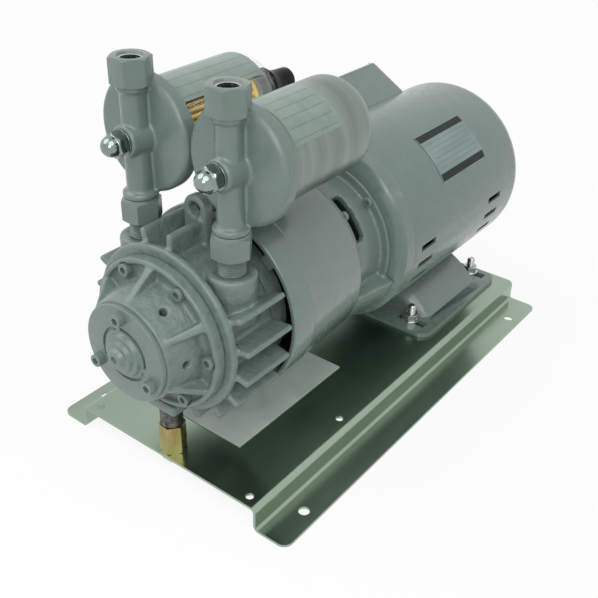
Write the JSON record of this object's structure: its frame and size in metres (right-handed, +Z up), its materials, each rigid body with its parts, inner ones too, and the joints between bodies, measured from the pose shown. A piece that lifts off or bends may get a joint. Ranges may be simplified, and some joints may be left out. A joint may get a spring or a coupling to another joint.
{
  "type": "rotary vane vacuum pump",
  "caption": "Dry rotary vane vacuum pump with finned cylinder, coupled motor, clear-bowl and can filters, on a base.",
  "frame": {"origin": "centre of the four base holes, on the floor", "axes": "+Z up, +Y along the shaft line from the pump head to the motor, +X to the right of the pump seen from its head"},
  "size_m": [0.252, 0.4758, 0.328],
  "materials": {
    "zinc": "bright zinc plate",
    "sheet": "pale sheet",
    "bright_steel": "plain steel",
    "brass": "plain brass",
    "dark_steel": "blackened steel",
    "iron": "grey enamel on iron",
    "castings": "grey enamel on cast alloy",
    "enamel": "grey enamel on steel",
    "laminations": "stacked sheet",
    "copper": "enamelled wire",
    "foil": "bare plate",
    "satin_can": "satin drawn can",
    "clear": "clear bowl",
    "pleats": "pleated filter medium",
    "felt": "pale filter medium",
    "chrome": "polished",
    "black": "black moulded",
    "rubber": "rubber",
    "carbon": "carbon"
  },
  "bodies": {
    "machine": {"base_plate": "zinc", "pump_sheet": "sheet", "support_post": "brass", "post_stud": "dark_steel", "post_bolt": "bright_steel", "motor_foot": "enamel", "foot_bolts": "bright_steel", "foot_nuts": "bright_steel", "foot_washers": "bright_steel", "pump_cylinder": "iron", "front_cover": "iron", "bearing_cover": "iron", "cover_screws": "enamel", "disc_screws": "enamel", "rear_plate": "iron", "rear_screws": "bright_steel", "pump_bearings": "bright_steel", "shaft_seal": "rubber", "fan_shroud": "castings", "bell_housing": "castings", "bell_screws": "enamel", "motor_front_shield": "castings", "motor_shell": "enamel", "motor_rear_shield": "castings", "stator_core": "laminations", "windings": "copper", "motor_bearings": "bright_steel", "rating_plate": "foil", "terminal_box": "enamel", "box_lid": "enamel", "lid_screws": "bright_steel", "capacitor": "black", "inlet_head": "castings", "outlet_head": "castings", "gaskets": "rubber", "inlet_bowl": "clear", "outlet_can": "satin_can", "inlet_element": "pleats", "outlet_element": "felt", "stud_washers": "bright_steel", "acorn_nuts": "chrome", "tie_rods": "bright_steel", "port_nipples": "enamel", "union_nuts": "enamel"},
    "shaft_line": {"pump_rotor": "iron", "pump_shaft": "bright_steel", "cooling_fan": "castings", "coupling_front": "castings", "coupling_star": "rubber", "coupling_rear": "castings", "motor_rotor": "laminations", "motor_shaft": "bright_steel"},
    "vane_1": {"vane_1": "carbon"},
    "vane_2": {"vane_2": "carbon"},
    "vane_3": {"vane_3": "carbon"},
    "vane_4": {"vane_4": "carbon"},
    "clamp_washer": {"knob_washer": "chrome"},
    "clamp_knob": {"clamp_knob": "black"}
  },
  "joints": [
    {"name": "shaft_turn", "type": "hinge", "parent": "machine", "child": "shaft_line", "pos_m": [0, 0, 0.138], "axis": [0, 1, 0], "continuous": true},
    {"name": "vane_1_slide", "type": "slide", "parent": "shaft_line", "child": "vane_1", "axis": [0.7071, 0, 0.7071], "range_m": [0, 0.0012]},
    {"name": "vane_2_slide", "type": "slide", "parent": "shaft_line", "child": "vane_2", "axis": [-0.7071, 0, 0.7071], "range_m": [0, 0.0012]},
    {"name": "vane_3_slide", "type": "slide", "parent": "shaft_line", "child": "vane_3", "axis": [-0.7071, 0, -0.7071], "range_m": [0, 0.0012]},
    {"name": "vane_4_slide", "type": "slide", "parent": "shaft_line", "child": "vane_4", "axis": [0.7071, 0, -0.7071], "range_m": [0, 0.0012]},
    {"name": "clamp_slide", "type": "slide", "parent": "machine", "child": "clamp_washer", "axis": [0, 1, 0], "range_m": [0, 0.006]},
    {"name": "knob_turn", "type": "hinge", "parent": "clamp_washer", "child": "clamp_knob", "pos_m": [-0.044, -0.03, 0.2695], "axis": [0, 1, 0], "range_deg": [0, 1440]}
  ],
  "couplings": [
    {"joint": "clamp_slide", "follows": "knob_turn", "m_per_rad": 0.00023873}
  ]
}
